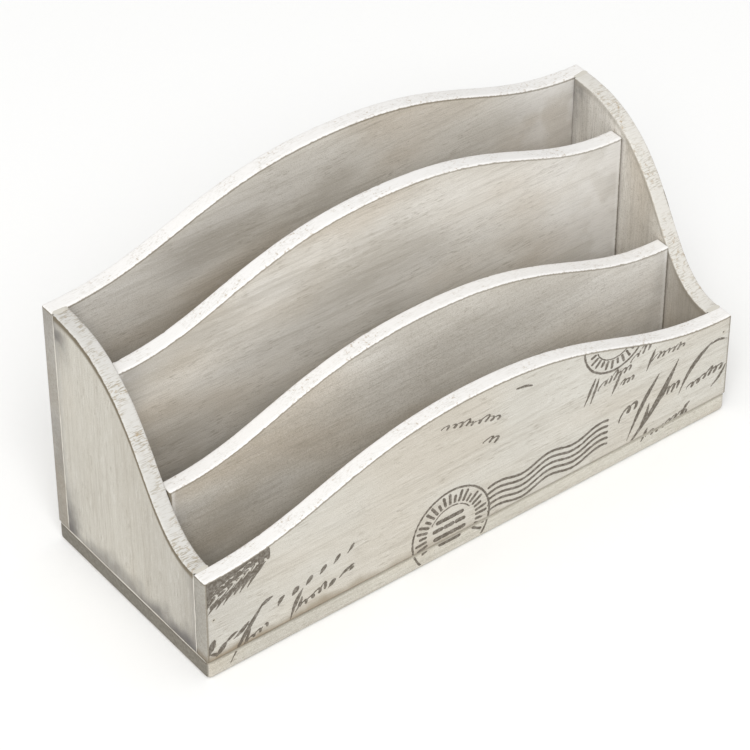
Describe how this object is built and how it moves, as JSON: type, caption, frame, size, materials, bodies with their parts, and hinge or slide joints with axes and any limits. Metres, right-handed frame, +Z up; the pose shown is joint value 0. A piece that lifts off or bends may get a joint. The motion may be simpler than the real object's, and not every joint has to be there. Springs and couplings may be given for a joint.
{
  "type": "desk organizer",
  "caption": "Whitewashed wooden desk organizer with stepped full-width letter slots, wavy crowned top edges and side panels that sweep down to a low printed front.",
  "frame": {"origin": "middle of the footprint, on the surface that it stands on", "axes": "+X along the front to the viewer's right, +Y from the low front to the high back, +Z up"},
  "size_m": [0.2996, 0.1168, 0.1651],
  "materials": {
    "front_wood": "whitewashed and lightly distressed, brown-grey ink print on the outer face",
    "board_wood": "whitewashed, grain along the board, pale worn top edge",
    "panel_wood": "whitewashed, upright grain, grey glaze in the corners",
    "base_wood": "whitewash rubbed back to taupe wood",
    "brad_steel": "dull set heads of fine brads"
  },
  "bodies": {
    "root": {"back_board": "board_wood", "base_board": "base_wood", "brad_back_left_1": "brad_steel", "brad_back_left_2": "brad_steel", "brad_back_left_3": "brad_steel", "brad_back_right_1": "brad_steel", "brad_back_right_2": "brad_steel", "brad_back_right_3": "brad_steel", "brad_base_back_1": "brad_steel", "brad_base_back_2": "brad_steel", "brad_base_back_3": "brad_steel", "brad_base_back_4": "brad_steel", "brad_base_front_1": "brad_steel", "brad_base_front_2": "brad_steel", "brad_base_front_3": "brad_steel", "brad_base_front_4": "brad_steel", "brad_base_front_divider_1": "brad_steel", "brad_base_front_divider_2": "brad_steel", "brad_base_front_divider_3": "brad_steel", "brad_base_left_1": "brad_steel", "brad_base_left_2": "brad_steel", "brad_base_rear_divider_1": "brad_steel", "brad_base_rear_divider_2": "brad_steel", "brad_base_rear_divider_3": "brad_steel", "brad_base_right_1": "brad_steel", "brad_base_right_2": "brad_steel", "brad_front_left_1": "brad_steel", "brad_front_left_2": "brad_steel", "brad_front_left_3": "brad_steel", "brad_front_right_1": "brad_steel", "brad_front_right_2": "brad_steel", "brad_front_right_3": "brad_steel", "front_board": "front_wood", "front_divider": "board_wood", "left_side_panel": "panel_wood", "rear_divider": "board_wood", "right_side_panel": "panel_wood"}
  },
  "joints": []
}
